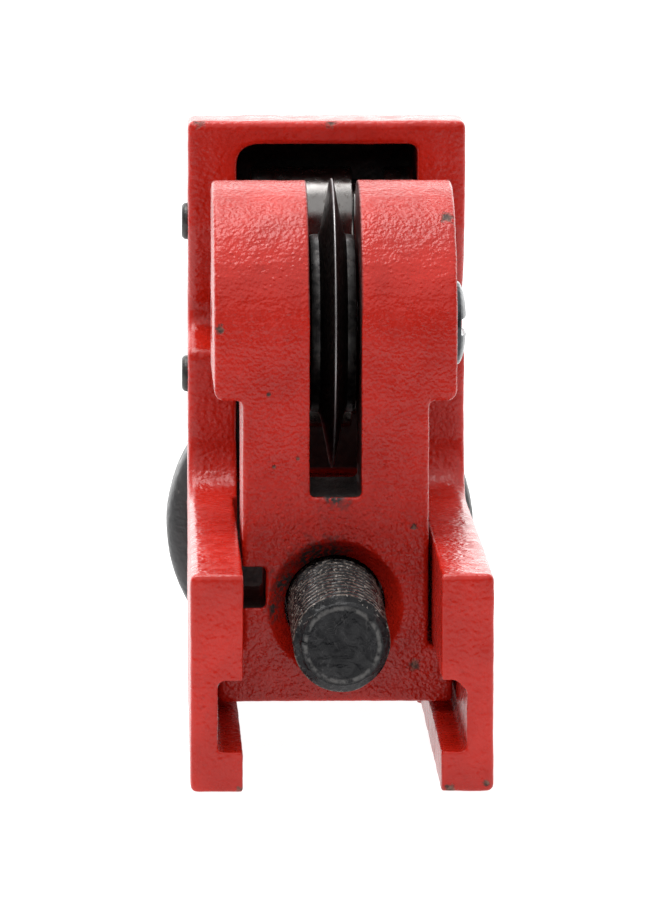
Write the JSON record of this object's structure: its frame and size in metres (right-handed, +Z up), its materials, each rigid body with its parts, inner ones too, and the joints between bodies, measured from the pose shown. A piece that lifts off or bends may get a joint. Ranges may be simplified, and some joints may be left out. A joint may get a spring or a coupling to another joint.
{
  "type": "pipe cutter head",
  "caption": "Wheel-type pipe cutter head: cast frame with rollers, and a forked block with a cutting wheel that a feed screw and handwheel move along grooved rails.",
  "frame": {"origin": "under the middle of the head's overall box, level with its lowest point, which is the handwheel's rim 2.7 mm below the feet", "axes": "+Y from the open ends of the rails towards the handwheel, along the feed screw; +Z up from the feet to the top of the portal; +X to the right seen from the open end"},
  "size_m": [0.0546, 0.1344, 0.1035],
  "materials": {
    "red_paint": "thick gloss red paint over rough iron casting",
    "tool_steel": "dark hardened tool steel, bright ground edge",
    "black_steel": "blackened steel",
    "ground_steel": "ground hardened steel",
    "greased_steel": "dark greased steel",
    "zinc_steel": "zinc plated",
    "bronze": "oiled bearing bronze",
    "black_paint": "satin black paint on cast iron"
  },
  "bodies": {
    "frame": {"frame": "red_paint", "upper_roller_pin": "black_steel", "lower_roller_pin": "black_steel", "upper_roller_spacer": "zinc_steel", "lower_roller_spacer": "zinc_steel", "upper_pin_set_screw": "black_steel", "lower_pin_set_screw": "black_steel", "screw_bush": "bronze", "front_thrust_washer": "zinc_steel", "rear_thrust_washer": "zinc_steel"},
    "feed_screw": {"feed_screw": "greased_steel", "handwheel": "black_paint", "handwheel_key": "black_steel", "handwheel_washer": "zinc_steel", "handwheel_nut": "zinc_steel"},
    "slide_block": {"slide_block": "red_paint", "wheel_axle": "black_steel"},
    "cutting_wheel": {"cutting_wheel": "tool_steel"},
    "upper_roller": {"upper_roller": "ground_steel"},
    "lower_roller": {"lower_roller": "ground_steel"}
  },
  "joints": [
    {"name": "feed_screw_turn", "type": "hinge", "parent": "frame", "child": "feed_screw", "pos_m": [0, 0, 0.0273], "axis": [0, 1, 0], "range_deg": [0, 3600]},
    {"name": "block_slide", "type": "slide", "parent": "frame", "child": "slide_block", "axis": [0, -1, 0], "range_m": [0, 0.032]},
    {"name": "cutting_wheel_spin", "type": "hinge", "parent": "slide_block", "child": "cutting_wheel", "pos_m": [0, -0.00695, 0.0721], "axis": [1, 0, 0], "continuous": true},
    {"name": "upper_roller_spin", "type": "hinge", "parent": "frame", "child": "upper_roller", "pos_m": [0, 0.02575, 0.0854], "axis": [1, 0, 0], "continuous": true},
    {"name": "lower_roller_spin", "type": "hinge", "parent": "frame", "child": "lower_roller", "pos_m": [0, 0.02575, 0.0588], "axis": [1, 0, 0], "continuous": true}
  ],
  "couplings": [
    {"joint": "block_slide", "follows": "feed_screw_turn", "m_per_rad": 0.00050532}
  ]
}
